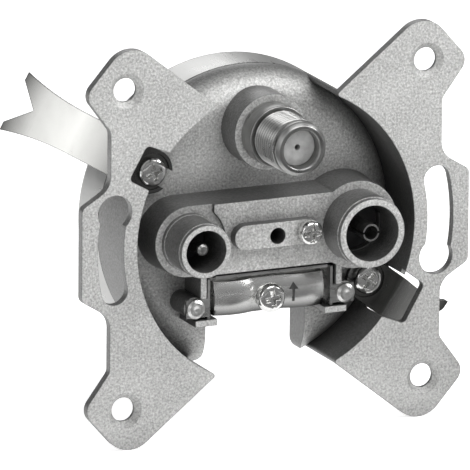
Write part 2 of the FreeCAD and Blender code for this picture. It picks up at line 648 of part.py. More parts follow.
def rear_cover():
    """Drawn can behind the floor, flat below, where the cables pass."""
    body = new_body("rear_cover")
    front = f"{SEAM} - jointGap"
    pad(body, circles(body, "coverOutside", front, [("0", "0", CAN)]), f"coverBack + {front}", back=True)
    rear = value("coverBack")
    round_edges(body, "coverEdge", lambda edge: all(abs(v.Y - rear) < 0.01 for v in edge.Vertexes))
    below = sketch_on(body, "coverChordCut", level=front)
    rectangle(below, f"-1.1 * {CAN}", f"-1.1 * {CAN}", f"1.1 * {CAN}", "-coverChord")
    pocket(body, below, f"coverBack + {front}")
    inside = sketch_on(body, "coverInside", level=front)
    flat_circle(inside, f"{CAN} - coverWall", "coverChord - coverWall")
    pocket(body, inside, f"coverBack - coverWall + {front}")


def threaded_port():
    tip, seat = ahead("threadReach"), behind("threadBossDepth")
    turned("f_barrel", [
        ("barrelBore", tip), ("threadRadius - threadChamfer", tip),
        ("threadRadius", f"{tip} + threadChamfer"), ("threadRadius", ahead("collarReach")),
        ("collarRadius", ahead("collarReach")), ("collarRadius", seat), ("barrelSpigot", seat),
        ("barrelSpigot", f"-{BACK}"), ("barrelBore", f"-{BACK}"),
    ], z="threadHeight")
    face = f"({tip} + plugRecess)"
    lip = f"({face} + plugRecess)"
    turned("f_insulator", [
        ("coreHole", face), ("barrelBore - fitGap", face), ("barrelBore - fitGap", f"-{BACK}"),
        ("2 * coreHole + fitGap", f"-{BACK}"), ("2 * coreHole + fitGap", lip), ("coreHole", lip),
    ], z="threadHeight")
    turned("f_contact", [
        ("coreHole + fitGap", f"{lip} + fitGap"), ("2 * coreHole", f"{lip} + fitGap"),
        ("2 * coreHole", f"-{BACK}"), ("tailRadius", f"-{BACK}"), ("tailRadius", TAIL_END),
        ("0", TAIL_END), ("0", "0"), ("coreHole + fitGap", "0"),
    ], z="threadHeight")


def port_insulator(name, x, core, bore, bore_depth):
    """Stepped disc at the bottom of a port, with a bush through the floor."""
    seat = behind(bore_depth)
    return turned(name, [
        (core, f"{seat} - insulatorThickness"), (f"{bore} - fitGap", f"{seat} - insulatorThickness"),
        (f"{bore} - fitGap", seat), ("feedRadius - fitGap", seat), ("feedRadius - fitGap", f"-{BACK}"),
        (core, f"-{BACK}"),
    ], x=x)


def plug_port():
    port_insulator("tv_insulator", PLUG_X, "pinRadius + fitGap", "plugBore", "plugBoreDepth")
    tip = ahead("pinReach")
    turned("tv_pin", [
        ("0", tip), ("pinRadius * 0.55", f"{tip} + pinRadius * 0.15"),
        ("pinRadius * 0.88", f"{tip} + pinRadius * 0.45"), ("pinRadius", f"{tip} + pinRadius"),
        ("pinRadius", f"-{BACK}"), ("tailRadius", f"-{BACK}"), ("tailRadius", TAIL_END), ("0", TAIL_END),
    ], x=PLUG_X)


def socket_port():
    port_insulator("radio_insulator", SOCKET_X, "sleeveRadius + fitGap", "socketBore", "socketBoreDepth")
    tip = ahead("sleeveReach")
    contact = turned("radio_contact", [
        ("sleeveBore", tip), ("sleeveRadius", tip), ("sleeveRadius", f"-{BACK}"), ("tailRadius", f"-{BACK}"),
        ("tailRadius", TAIL_END), ("0", TAIL_END), ("0", f"{tip} + 1.4 * sleeveSlitDepth"),
        ("sleeveBore", f"{tip} + 1.4 * sleeveSlitDepth"),
    ], x=SOCKET_X)
    slits = sketch_on(contact, "slits", level="plateThickness + sleeveReach")
    rectangle(slits, "-2 * sleeveRadius", "-sleeveSlit / 2", "2 * sleeveRadius", "sleeveSlit / 2")
    pocket(contact, slits, "sleeveSlitDepth")
    seat = f"({behind('socketBoreDepth')} - insulatorThickness)"
    ring = turned("radio_spring_ring", [
        ("socketBore - fitGap - springWall", f"{seat} - springWidth"), ("socketBore - fitGap", f"{seat} - springWidth"),
        ("socketBore - fitGap", seat), ("socketBore - fitGap - springWall", seat),
    ], x=SOCKET_X)
    gap = sketch_on(ring, "ringGap", level=f"-{seat} + springWidth")
    rectangle(gap, "0", "socketBore * 0.3", "socketBore", "socketBore * 0.6")
    pocket(ring, gap, "springWidth")


def screw(name, head, height, shank, length, x, y, z):
    """Pan-head screw with a cross recess, its head's underside at y."""
    body = turned(name, [
        ("0", f"-{height}"), (f"0.55 * {head}", f"-{height}"), (f"0.86 * {head}", f"-0.78 * {height}"),
        (head, f"-0.4 * {height}"), (head, "0"), (shank, "0"), (shank, f"{length} - {shank} / 3"),
        (f"{shank} * 0.7", length), ("0", length),
    ], x, y, z)
    cross = sketch_on(body, name + "Cross", level=height)
    arm, reach = "recessSlot / 2", "recessReach"
    corners = [(reach, arm), (arm, arm), (arm, reach)]
    ring = []
    for first, second in ((1, 1), (-1, 1), (-1, -1), (1, -1)):
        quarter = [(f"{first} * {a}", f"{second} * {b}") for a, b in corners]
        ring += quarter if first * second > 0 else quarter[::-1]
    outline(cross, ring)
    pocket(body, cross, "recessCut")
    return body


def claw(name, side, angle):
    """Spring steel strip, forked at its screw, bent behind the plate and ending in two prongs."""
    body = new_body(name, f"{side} * {CLAW_X}", "0", f"{side} * {CLAW_Z}")
    body.Placement.Rotation = Rotation(Vector(0, 1, 0), 1)
    bind(body, "Placement.Rotation.Angle", f"-({angle})")
    front, back = behind("clawDepth"), f"({behind('clawDepth')} + clawSheet)"
    half = "clawSheet / 2"
    tight, wide = f"(clawBendRadius - {half})", f"(clawBendRadius + {half})"
    centre = f"({front} + {half} + clawBendRadius)"
    bent = [(f"clawBendStart + {radius} * sin(clawTurn)", f"{centre} - {radius} * cos(clawTurn)")
            for radius in (wide, tight)]
    ends = [(f"{x} + clawLeg * cos(clawTurn)", f"{y} + clawLeg * sin(clawTurn)") for x, y in bent]
    inner = "(-clawWidth / 2)"
    side_view = sketch_on(body, name + "Side", role="XY_Plane")
    outline(side_view, [
        (inner, front), ("clawBendStart", front), (*bent[0], wide, 1), ends[0], ends[1],
        bent[1], ("clawBendStart", back, tight, -1), (inner, back),
    ])
    pad(body, side_view, "clawTailWidth", middle=True)
    plan = sketch_on(body, name + "Plan", level=f"-{front} + clawSheet")
    tail = sketch_on(body, name + "Tail")
    tail.AttachmentOffset = Placement(Vector(), Rotation(Vector(0, 1, 0), 1))
    bind(tail, "AttachmentOffset.Rotation.Angle", "clawTurn")
    bind(tail, "AttachmentOffset.Base.x", bent[0][0])
    bind(tail, "AttachmentOffset.Base.z", f"-({bent[0][1]})")
    flare = "((clawFlare^2 + ((clawTailWidth - clawWidth) / 2)^2) / (clawTailWidth - clawWidth))"
    for edge in BOTH:
        near, far = f"{edge} * clawWidth / 2", f"{edge} * clawTailWidth * 0.6"
        outline(plan, [
            (f"{inner} - 1", far), ("clawBendStart + 1", far), ("clawBendStart + 1", near),
            ("0", near), (inner, "0", "clawWidth / 2", edge), (f"{inner} - 1", "0"),
        ])
        outline(tail, [
            ("-clawBendRadius * 1.6", far), ("clawLeg + 1", far), ("clawLeg + 1", f"{edge} * clawTailWidth / 2"),
            ("clawLeg", f"{edge} * clawTailWidth / 2"), ("clawLeg - clawFlare", near, flare, -edge),
            ("-clawBendRadius * 1.6", near),
        ])
    outline(tail, [("clawLeg - clawTailNotch", "0"), ("clawLeg + 1", "-0.46 * clawTailWidth"),
                   ("clawLeg + 1", "0.46 * clawTailWidth")])
    pocket(body, plan, "clawBendRadius * 2 + clawSheet")
    pocket(body, tail, "clawSheet * 3", middle=True)
    seat = circles(body, name + "Seat", f"-{front}", [("0", "0", "seatRadius")])
    pocket(body, seat, "seatDepth")
    fork = sketch_on(body, name + "Fork", level=f"-{front}")
    play = "(clawScrewShank + 4 * fitGap)"
    outline(fork, [(f"{inner} - 1", f"-{play}"), ("0", f"-{play}"), ("0", play, None, 1), (f"{inner} - 1", play)])
    pocket(body, fork, "clawSheet")
    return body


def claws():
    seat = f"({behind('clawDepth')} + seatDepth)"
    for name, side, angle in (("upper", 1, "clawAngle"), ("lower", -1, LOWER_CLAW)):
        claw(f"claw_{name}", side, angle)
        screw(f"claw_screw_{name}", "clawScrewHead", "clawScrewHeight", "clawScrewShank", "clawScrewLength",
              f"{side} * {CLAW_X}", seat, f"{side} * {CLAW_Z}")


def clamp_frame():
    """Sheet tray on the recess floor whose two ears are riveted to the housing."""
    body = new_body("clamp_frame")
    bottom = sketch_on(body, "frameBottomSheet", level=FLOOR)
    rectangle(bottom, "-frameHalf", "-frameBottom", "frameHalf", "-frameTop")
    pad(body, bottom, "frameSheet")
    flange = sketch_on(body, "frameFlange", level=FLOOR)
    flange_half = "(frameHalf - 2.5 * frameSheet)"
    rectangle(flange, f"-{flange_half}", "-frameTop", flange_half, "-frameTop + frameSheet")
    pad(body, flange, "recessDepth - frameRise")
    sides = sketch_on(body, "frameSides", level=FLOOR)
    ears = sketch_on(body, "frameEars", level="plateThickness - earDepth")
    for side in BOTH:
        near, far = f"{side} * (frameHalf - frameSheet)", f"{side} * frameHalf"
        rectangle(sides, near, "-frameBottom", far, "-frameTop")
        reach = f"{side} * (rivetOffset + rivetHead)"
        rectangle(ears, near, "-rivetDrop - earHalf", reach, "-rivetDrop + earHalf")
    pad(body, sides, "recessDepth - earDepth")
    pad(body, ears, "frameSheet", back=True)
    holes = [(f"{side} * rivetOffset", "-rivetDrop", "rivetShank + fitGap") for side in BOTH]
    holes.append(("0", "-clampScrewDrop", "clampScrewShank + 2 * threadPlay"))
    pocket(body, circles(body, "frameHoles", "plateThickness - earDepth", holes), "recessDepth")
    windows = sketch_on(body, "frameWindows", role="XY_Plane", level="-frameTop + 2 * frameSheet")
    for side in BOTH:
        low, high = behind("terminalDepth"), f"-{FLOOR} - frameSheet"
        rectangle(windows, f"{side} * (coreOffset - contactWidth)", low, f"{side} * (coreOffset + contactWidth)", high)
    pocket(body, windows, "3 * frameSheet")


def clamp_rivets():
    for name, side in (("left", -1), ("right", 1)):
        turned(f"clamp_rivet_{name}", [
            ("0", "0.3 * rivetHeight"), ("0.45 * rivetHead", "0"), ("0.7 * rivetHead", "0"),
            ("rivetHead", "0.45 * rivetHeight"), ("rivetHead", "rivetHeight"), ("rivetShank", "rivetHeight"),
            ("rivetShank", "rivetHeight + 4 * frameSheet"), ("0", "rivetHeight + 4 * frameSheet"),
        ], f"{side} * rivetOffset", behind("earDepth - rivetHeight"), "-rivetDrop")


def clamp_saddle():
    """Wavy bar that presses two cables down, with turned-in ends."""
    body = new_body("clamp_saddle")
    face = behind("saddleDepth")
    under = f"({face} + saddleSheet)"
    span = "(saddleHalf - saddleFlat)"
    outer = f"(({span}^2 / 4 + saddleRise^2) / (2 * saddleRise))"
    end = "(saddleHalf - saddleSheet)"
    inner = f"((({end} - saddleFlat)^2 / 4 + saddleRise^2) / (2 * saddleRise))"
    profile = sketch_on(body, "saddleProfile", role="XY_Plane", level="-saddleBottom")
    outline(profile, [
        ("-saddleHalf", face), ("-saddleFlat", face, outer, 1), ("saddleFlat", face),
        ("saddleHalf", face, outer, 1), ("saddleHalf", f"{face} + saddleLip"), (end, f"{face} + saddleLip"),
        (end, under), ("saddleFlat", under, inner, -1), ("-saddleFlat", under), (f"-{end}", under, inner, -1),
        (f"-{end}", f"{face} + saddleLip"), ("-saddleHalf", f"{face} + saddleLip"),
    ])
    pad(body, profile, "saddleBottom - saddleTop")
    hole = circles(body, "saddleHole", f"-{face}", [("0", "-clampScrewDrop", "clampScrewShank + 2 * threadPlay")])
    pocket(body, hole, "saddleSheet")


def clamp_and_pad_screws():
    screw("clamp_screw", "clampScrewHead", "clampScrewHeight", "clampScrewShank", "clampScrewLength",
          "0", f"({behind('saddleDepth')} - fitGap)", "-clampScrewDrop")
    pad_face = "(platformDepth - padHeight)"
    screw("pad_screw", "padScrewHead", "padScrewHeight", "padScrewShank", "padScrewLength",
          "padScrewOffset", behind(pad_face), "padShift")


def terminals():
    """Insulating block under the plug ports with one contact for each cable core."""
    body = new_body("terminal_block")
    face = "plateThickness - terminalDepth - fitGap"
    block = sketch_on(body, "block", level=FLOOR)
    rectangle(block, "-terminalHalf + fitGap", "-platformRadius + 4 * fitGap", "terminalHalf - fitGap",
              "-terminalTop - fitGap")
    pad(body, block, f"{face} - {FLOOR}")
    leads = sketch_on(body, "leads", role="XY_Plane", level="-platformRadius")
    slots = sketch_on(body, "contactSlots", level=face)
    for side in BOTH:
        circle(leads, f"{side} * coreOffset", f"({behind('terminalDepth')} - {FLOOR}) / 2", "coreRadius")
        middle, half = f"{side} * coreOffset", "(contactWidth / 2 + fitGap)"
        rectangle(slots, f"{middle} - {half}", f"{CONTACT_Z} - contactWidth / 4 - fitGap", f"{middle} + {half}",
                  f"{CONTACT_Z} + contactWidth / 4 + fitGap")
    pocket(body, leads, f"{CONTACT_Z} + platformRadius", front=True)
    pocket(body, slots, "recessDepth")
    for name, side in (("in", -1), ("out", 1)):
        contact = new_body(f"core_contact_{name}")
        blade = sketch_on(contact, f"blade{name.title()}", level=f"{face} - 2 * fitGap")
        middle = f"{side} * coreOffset"
        rectangle(blade, f"{middle} - contactWidth / 2", f"{CONTACT_Z} - contactWidth / 4",
                  f"{middle} + contactWidth / 2", f"{CONTACT_Z} + contactWidth / 4")
        pad(contact, blade, f"{face} - 2 * fitGap - {FLOOR} - fitGap", back=True)
        tail = circles(contact, f"tail{name.title()}", f"{FLOOR} + fitGap", [(middle, CONTACT_Z, "tailRadius")])
        pad(contact, tail, f"{TAIL_END} + {FLOOR} + fitGap", back=True)


def circuit_board():
    body = new_body("circuit_board")
    blank = sketch_on(body, "boardBlank", level="-boardFront")
    flat_circle(blank, "boardRadius", "boardChord")
    pad(body, blank, "boardThickness", back=True)
    spots = [("0", "threadHeight"), (PLUG_X, "0"), (SOCKET_X, "0")]
    spots += [(f"{side} * coreOffset", CONTACT_Z) for side in BOTH]
    holes = [(x, z, "tailRadius + fitGap") for x, z in spots]
    pocket(body, circles(body, "boardHoles", "-boardFront", holes), "boardThickness")


def cylinder(name, radius, height, x, y, z, direction):
    """Round primitive with its base centre at x, y, z."""
    item = doc.addObject("Part::Cylinder", name)
    item.Placement = Placement(Vector(), Rotation(Vector(0, 0, 1), direction))
    bind(item, "Radius", radius)
    bind(item, "Height", height)
    for axis, text in (("x", x), ("y", y), ("z", z)):
        bind(item, f"Placement.Base.{axis}", text)
    return item


def joined(name, kind, items):
    result = doc.addObject(kind, name)
    result.Label = name
    if kind == "Part::Cut":
        result.Base, result.Tool = items
    elif kind == "Part::Compound":
        result.Links = items
    else:
        result.Shapes = items
    parts.append(result)
    return result


def splitter_core():
    """Two-hole ferrite core, wound through both of its bores."""
    right, up = Vector(1, 0, 0), Vector(0, 0, 1)
    block = doc.addObject("Part::Box", "coreBlock")
    for prop, text in (("Length", "coreLength"), ("Width", "coreDepth"), ("Height", "coreHeight")):
        bind(block, prop, text)
    bind(block, "Placement.Base.x", "-coreLength - ringOuter / 2")
    bind(block, "Placement.Base.y", BOARD_BACK)
    bind(block, "Placement.Base.z", "coreHeight / 2")
    bores = []
    wires = []
    middle = f"({BOARD_BACK} + coreDepth / 2)"
    left = "(-coreLength - ringOuter / 2)"
    for number, share in enumerate(("0.74", "1.26")):
        height = f"coreHeight * {share}"
        bores.append(cylinder(f"coreBore{number}", "coreBore", "coreLength", left, middle, height, right))
        wires.append(cylinder(f"coreWire{number}", "wireRadius", "coreLength + 3 * wireRadius",
                              f"{left} - 1.5 * wireRadius", middle, height, right))
    for number, shift in enumerate(("-1.5 * wireRadius", "coreLength + 1.5 * wireRadius")):
        wires.append(cylinder(f"coreTurn{number}", "wireRadius", "coreHeight * 0.52 + 2 * wireRadius",
                              f"{left} + {shift}", middle, "coreHeight * 0.74 - wireRadius", up))
    tools = doc.addObject("Part::MultiFuse", "coreBores")
    tools.Shapes = bores
    joined("splitter_core", "Part::Cut", (block, tools))
    joined("splitter_winding", "Part::MultiFuse", wires)


def coupler_core():
    """Ferrite ring beside the splitter core, with five turns of wire about its section."""
    x, z = "(ringOuter * 2)", "coreHeight"
    base = f"({BOARD_BACK} + wireRadius + fitGap)"
    back = Vector(0, 1, 0)
    outside = cylinder("ringBlank", "ringOuter", "ringHeight", x, base, z, back)
    inside = cylinder("ringBore", "ringInner", "ringHeight", x, base, z, back)
    joined("coupler_core", "Part::Cut", (outside, inside))
    turns = []
    for number in range(5):
        angle = 30 + 60 * number
        turns.append(loop(f"couplerTurn{number}", x, f"{base} + ringHeight / 2", z, angle))
    joined("coupler_winding", "Part::Compound", turns)


def loop(name, x, y, z, angle):
    """Wire loop about the coupler ring's section, in the direction of an angle."""
    blocks = []
    for part, extra in (("Outside", "wireRadius + fitGap"), ("Inside", "fitGap")):
        block = doc.addObject("Part::Box", name + part)
        bind(block, "Length", f"ringOuter - ringInner + 2 * ({extra})")
        bind(block, "Width", f"ringHeight + 2 * ({extra})")
        bind(block, "Height", "2 * wireRadius")
        block.Placement.Rotation = Rotation(Vector(0, -1, 0), angle)
        near = f"(ringInner - {extra})"
        bind(block, "Placement.Base.x", f"{x} + {near} * cos({angle}) + wireRadius * sin({angle})")
        bind(block, "Placement.Base.y", f"{y} - ringHeight / 2 - ({extra})")
        bind(block, "Placement.Base.z", f"{z} + {near} * sin({angle}) - wireRadius * cos({angle})")
        blocks.append(block)
    result = doc.addObject("Part::Cut", name)
    result.Base, result.Tool = blocks
    return result


def air_coil():
    """Small close-wound coil that stands on the board."""
    inner, outer = "(coilRadius - wireRadius)", "(coilRadius + wireRadius)"
    profile = [(inner, BOARD_BACK)]
    for number in range(6):
        profile.append((f"{outer} - wireRadius", f"{BOARD_BACK} + {number} * coilPitch"))
        profile.append((outer, f"{BOARD_BACK} + {number + 0.5} * coilPitch"))
    profile += [(f"{outer} - wireRadius", f"{BOARD_BACK} + 6 * coilPitch"), (inner, f"{BOARD_BACK} + 6 * coilPitch")]
    turned("filter_coil", profile, x="-coilPlace", z="-coilRadius * 2.4")


def capacitors():
    """Ceramic discs that stand on the board below and beside the cores."""
    discs = []
    for number, (x, z) in enumerate((("-0.6", "-2.2"), ("1.4", "-2.2"), ("3.6", "-2.2"), ("-1", "5.2"))):
        discs.append(cylinder(f"disc{number}", "discRadius", "discThickness", f"{x} * discRadius",
                              f"{BOARD_BACK} + discRadius", f"{z} * discRadius", Vector(1, 0, 0)))
    joined("capacitors", "Part::Compound", discs)


housing()
rear_cover()
threaded_port()
plug_port()
socket_port()
claws()
clamp_frame()
clamp_rivets()
clamp_saddle()
clamp_and_pad_screws()
terminals()
circuit_board()
splitter_core()
coupler_core()
air_coil()
capacitors()
doc.recompute()

for item in doc.Objects:
    if "Invalid" in item.State or "Error" in item.State:
        raise RuntimeError(f"{item.Label} failed: {item.State}")
os.makedirs("parts", exist_ok=True)
for item in parts:
    shape = item.Shape
    if shape.isNull() or not shape.isValid():
        raise RuntimeError(f"{item.Label} has no valid shape")
for item in parts:
    item.Shape.exportStep(f"parts/{item.Label}.step")
    print(item.Label, len(item.Shape.Solids), round(item.Shape.Volume, 1))
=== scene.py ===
import json
import math

import bmesh
import bpy
import numpy as np
from mathutils import Matrix, Vector


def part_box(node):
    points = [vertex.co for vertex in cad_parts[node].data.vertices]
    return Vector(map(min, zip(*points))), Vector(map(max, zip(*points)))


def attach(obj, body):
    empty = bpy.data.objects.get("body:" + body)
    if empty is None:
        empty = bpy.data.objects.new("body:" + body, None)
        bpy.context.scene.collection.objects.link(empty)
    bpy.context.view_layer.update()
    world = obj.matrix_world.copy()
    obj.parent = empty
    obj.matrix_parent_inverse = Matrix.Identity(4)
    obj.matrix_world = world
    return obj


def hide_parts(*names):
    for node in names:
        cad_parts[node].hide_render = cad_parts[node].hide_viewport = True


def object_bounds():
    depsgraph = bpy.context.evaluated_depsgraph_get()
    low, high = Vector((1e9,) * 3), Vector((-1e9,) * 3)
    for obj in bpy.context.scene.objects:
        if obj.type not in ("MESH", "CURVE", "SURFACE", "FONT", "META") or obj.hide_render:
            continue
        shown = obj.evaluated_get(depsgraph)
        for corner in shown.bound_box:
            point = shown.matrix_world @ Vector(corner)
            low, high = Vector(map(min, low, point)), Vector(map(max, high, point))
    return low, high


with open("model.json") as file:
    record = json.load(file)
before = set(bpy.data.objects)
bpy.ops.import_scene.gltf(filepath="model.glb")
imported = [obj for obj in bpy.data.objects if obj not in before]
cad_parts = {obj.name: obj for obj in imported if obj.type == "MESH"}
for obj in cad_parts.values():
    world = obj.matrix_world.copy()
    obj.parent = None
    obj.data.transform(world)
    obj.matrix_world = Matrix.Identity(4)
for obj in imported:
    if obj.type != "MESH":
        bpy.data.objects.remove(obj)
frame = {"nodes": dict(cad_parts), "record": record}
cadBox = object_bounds()
mm = 0.001
faceY = -1.5 * mm  # front of the support plate
mergeDistance = 0.0004 * mm  # points nearer than this become one
cutTolerance = 0.0001 * mm


# Shader nodes

def addNode(tree, kind, inputs=None, **settings):
    item = tree.nodes.new("ShaderNode" + kind)
    for name, setting in settings.items():
        setattr(item, name, setting)
    for name, source in (inputs or {}).items():
        if isinstance(source, bpy.types.NodeSocket):
            tree.links.new(source, item.inputs[name])
        else:
            item.inputs[name].default_value = source
    return item


def ramp(tree, source, stops):
    # Colour ramp from (position, colour) stops.
    item = addNode(tree, "ValToRGB", {"Fac": source})
    while len(item.color_ramp.elements) < len(stops):
        item.color_ramp.elements.new(0.5)
    for element, (position, colour) in zip(item.color_ramp.elements, stops):
        element.position = position
        element.color = colour
    return item.outputs[0]


def mapped(tree, source, start=(0, 1), end=(0, 1), **settings):
    # Stretches the range start onto the range end.
    inputs = {"Value": source, "From Min": start[0], "From Max": start[1], "To Min": end[0], "To Max": end[1]}
    return addNode(tree, "MapRange", inputs, **settings).outputs["Result"]


def mixed(tree, share, first, second, kind="FLOAT", **settings):
    low, high, result = {"FLOAT": (2, 3, 0), "RGBA": (6, 7, 2)}[kind]
    item = addNode(tree, "Mix", {0: share, low: first, high: second}, data_type=kind, **settings)
    return item.outputs[result]


def noise(tree, place, scale, detail, roughness=0.5):
    inputs = {"Vector": place, "Scale": scale, "Detail": detail, "Roughness": roughness}
    return addNode(tree, "TexNoise", inputs).outputs["Fac"]


def dotted(tree, first, second):
    return addNode(tree, "VectorMath", {0: first, 1: second}, operation="DOT_PRODUCT").outputs["Value"]


def axisDistance(tree, place, level=0.0, scale=1.0):
    # Distance from the axis along Y at height level, times scale.
    shifted = addNode(tree, "VectorMath", {0: place, 1: (0, 0, -level)}).outputs[0]
    across = addNode(tree, "VectorMath", {0: shifted, 1: (scale, 0, scale)}, operation="MULTIPLY").outputs[0]
    return addNode(tree, "VectorMath", {0: across}, operation="LENGTH").outputs["Value"]


# Camera, light and floor

view = {
    "toCamera": (-0.400, -0.879, 0.259),
    "distance": 2.0,
    "pixelsPerMetre": 5950,
    "imageSize": 470,
    "platePixel": (276.6, 235.2),  # where the plate's middle lands in the frame
    "lean": 0.5,
    "sensor": 36,
    "clipEnd": 20,
}


def makeCamera(v):
    back = Vector(v["toCamera"]).normalized()
    right = Vector((0, 0, 1)).cross(back).normalized()
    up = back.cross(right)
    lean = math.radians(v["lean"])
    right, up = right * math.cos(lean) + up * math.sin(lean), up * math.cos(lean) - right * math.sin(lean)
    middle = v["imageSize"] / 2
    across = (middle - v["platePixel"][0]) / v["pixelsPerMetre"]
    above = (v["platePixel"][1] - middle) / v["pixelsPerMetre"]
    place = Vector((0, faceY, 0)) + right * across + up * above + back * v["distance"]
    camera = bpy.data.objects.new("camera", bpy.data.cameras.new("camera"))
    camera.matrix_world = Matrix.Translation(place) @ Matrix((right, up, back)).transposed().to_4x4()
    camera.data.sensor_width = v["sensor"]
    camera.data.lens = v["sensor"] * v["distance"] * v["pixelsPerMetre"] / v["imageSize"]
    camera.data.clip_end = v["clipEnd"]
    bpy.context.scene.collection.objects.link(camera)
    bpy.context.scene.camera = camera


studio = {
    "lamps": [  # name, from where, size across and up, watts
        ("keyLamp", (0.98, -0.5, 0.62), (0.35, 0.4), 6.4),
        ("topLamp", (0.04, -0.16, 0.22), (0.18, 0.1), 0.30),
        ("leftCard", (-0.8, -0.7, 0.35), (0.35, 0.5), 1.0),
        ("backStrip", (0.25, 0.9, 0.45), (0.5, 0.3), 1.0),
    ],
    "sky": [(0.35, (0.10, 0.10, 0.10, 1)), (0.75, (0.36, 0.36, 0.36, 1))],  # from straight down to straight up
    "floor": dict(colour=(0.93, 0.93, 0.93, 1), glow=0.72, roughness=0.9),
    "floorHalf": 12.0,
    "floorDrop": 0.05 * mm,
    "flagLift": 0.02 * mm,
    "flagColour": (0.02, 0.02, 0.02, 1),
    "flags": [  # dark cards that only reflections show: low corner, high corner, glow
        ((-0.5, -0.9), (0.7, -0.03), 0.16),
        ((0.036, -0.03), (0.9, 0.9), 0.2),
    ],
}


def makeLamps(s):
    scene = bpy.context.scene
    scene.view_settings.view_transform = "Standard"
    for name, place, (across, upwards), watts in s["lamps"]:
        lamp = bpy.data.lights.new(name, "AREA")
        lamp.shape = "RECTANGLE"
        lamp.size = across
        lamp.size_y = upwards
        lamp.energy = watts
        item = bpy.data.objects.new(name, lamp)
        item.location = place
        item.rotation_euler = Vector(place).to_track_quat("Z", "Y").to_euler()
        scene.collection.objects.link(item)
    world = bpy.data.worlds.new("studio")
    world.use_nodes = True
    tree = world.node_tree
    height = addNode(tree, "SeparateXYZ", {0: addNode(tree, "TexCoord").outputs["Generated"]}).outputs["Z"]
    share = addNode(tree, "Math", {0: height, 1: 0.5, 2: 0.5}, operation="MULTIPLY_ADD").outputs[0]
    tree.links.new(ramp(tree, share, s["sky"]), tree.nodes["Background"].inputs[0])
    scene.world = world


def makeSheet(name, low, high, level, paperName, colour, glow, roughness=0.5):
    # A flat sheet of glowing paper between two corners.
    corners = [(low[0], low[1]), (high[0], low[1]), (high[0], high[1]), (low[0], high[1])]
    mesh = bpy.data.meshes.new(name)
    mesh.from_pydata([(x, y, level) for x, y in corners], [], [(0, 1, 2, 3)])
    sheet = bpy.data.objects.new(name, mesh)
    bpy.context.scene.collection.objects.link(sheet)
    paper = bpy.data.materials.new(paperName)
    paper.use_nodes = True
    shader = paper.node_tree.nodes["Principled BSDF"]
    shader.inputs["Base Color"].default_value = colour
    shader.inputs["Roughness"].default_value = roughness
    shader.inputs["Emission Color"].default_value = (1, 1, 1, 1)
    shader.inputs["Emission Strength"].default_value = glow
    mesh.materials.append(paper)
    return sheet


def makeFloor(s):
    half = s["floorHalf"]
    level = cadBox[0][2] - s["floorDrop"]
    floor = makeSheet("floor", (-half, -half), (half, half), level, "floorPaper", **s["floor"])
    for number, (low, high, glow) in enumerate(s["flags"]):
        name, cardName = f"flag{number}", f"flagCard{number}"
        flag = makeSheet(name, low, high, level + s["flagLift"], cardName, s["flagColour"], glow)
        flag.visible_camera = flag.visible_diffuse = flag.visible_shadow = flag.visible_transmission = False


makeCamera(view)
makeLamps(studio)
makeFloor(studio)
print("camera, lamps and floor are set")


# Materials

# Near black that the painted shade mixes in: along edges, in the casting's recesses and down the saddle.
paintedShadeBlack = (0.01, 0.01, 0.01, 1)
edgeShadeBand = (0.86, 0.995)  # painted edge shade, by how far the rounded normal leaves the face's own: at the edge itself, and where the band ends


def newFinish(name, metallic, **fixed):
    finish = bpy.data.materials.new(name)
    finish.use_nodes = True
    shader = finish.node_tree.nodes["Principled BSDF"]
    shader.inputs["Metallic"].default_value = metallic
    for socket, number in fixed.items():
        shader.inputs[socket.replace("_", " ")].default_value = number
    place = addNode(finish.node_tree, "TexCoord").outputs["Object"]
    return finish, finish.node_tree, shader, place


def grey(level):
    return (level, level, level * 0.985, 1)


def paintEdgeShade(tree, colour, radius, share):
    # Painted shade: darkens a narrow band along every edge, where the rounded normal leaves the face's own.
    rounded = addNode(tree, "Bevel", {"Radius": radius}, samples=6).outputs[0]
    along = dotted(tree, rounded, addNode(tree, "NewGeometry").outputs["Normal"])
    return mixed(tree, mapped(tree, along, edgeShadeBand), mixed(tree, share, colour, paintedShadeBlack, "RGBA"), colour, "RGBA")


def softEdges(tree, shader, radius, bumps):
    # Rounds the shading at every edge, then adds height patterns as (height socket, strength, distance).
    normal = addNode(tree, "Bevel", {"Radius": radius}, samples=6).outputs[0]
    for height, strength, distance in bumps:
        normal = addNode(tree, "Bump", {"Height": height, "Strength": strength, "Distance": distance,
                                        "Normal": normal}).outputs[0]
    tree.links.new(normal, shader.inputs["Normal"])


def facing(tree, direction, limits):
    # 0 to 1 as the surface's own normal turns towards a direction of the object.
    along = dotted(tree, addNode(tree, "TexCoord").outputs["Normal"], direction)
    return mapped(tree, along, limits, interpolation_type="SMOOTHSTEP")


castZinc = {
    "metallic": 0.45,
    # painted light and shade: pale tones where a surface faces forwards or back, dark ones on the walls between
    "faceTones": (0.32, 0.92),
    "wallTones": (0.11, 0.28),
    "faceRoughness": (0.36, 0.60),
    "wallRoughness": (0.30, 0.45),
    "bumpStrength": (0.25, 0.9),  # of the grain, on walls and on faces
    "frontFacing": (0.15, 0.85),
    "backFacing": (0.55, 0.93),
    "grainPerMetre": 2600,
    "grainStops": (0.3, 0.52, 0.72),
    "grainHeight": 0.12 * mm,
    "specksPerMetre": 2990,
    "speckHeight": 0.06 * mm,
    "speckStrength": 0.45,
    "cloudPerMetre": 120,
    "cloudStops": (0.35, 0.65),
    "cloudShare": 0.12,
    "edgeRadius": 0.28 * mm,
    # the band of painted shade along every edge: its radius and how dark it gets
    "bandRadius": 0.22 * mm,
    "edgeShadeShare": 0.5,
    "recessShadeReach": 6 * mm,  # how far off a wall the painted recess shade still reaches
    "recessShadeOpenness": (0.25, 0.95),
    "recessShadeShare": 0.5,
    "paintedFalloffLow": 0.74,  # painted light falloff: how much of its tone the casting keeps at its lower end
    "paintedFalloffHeights": (-30 * mm, 12 * mm),
}


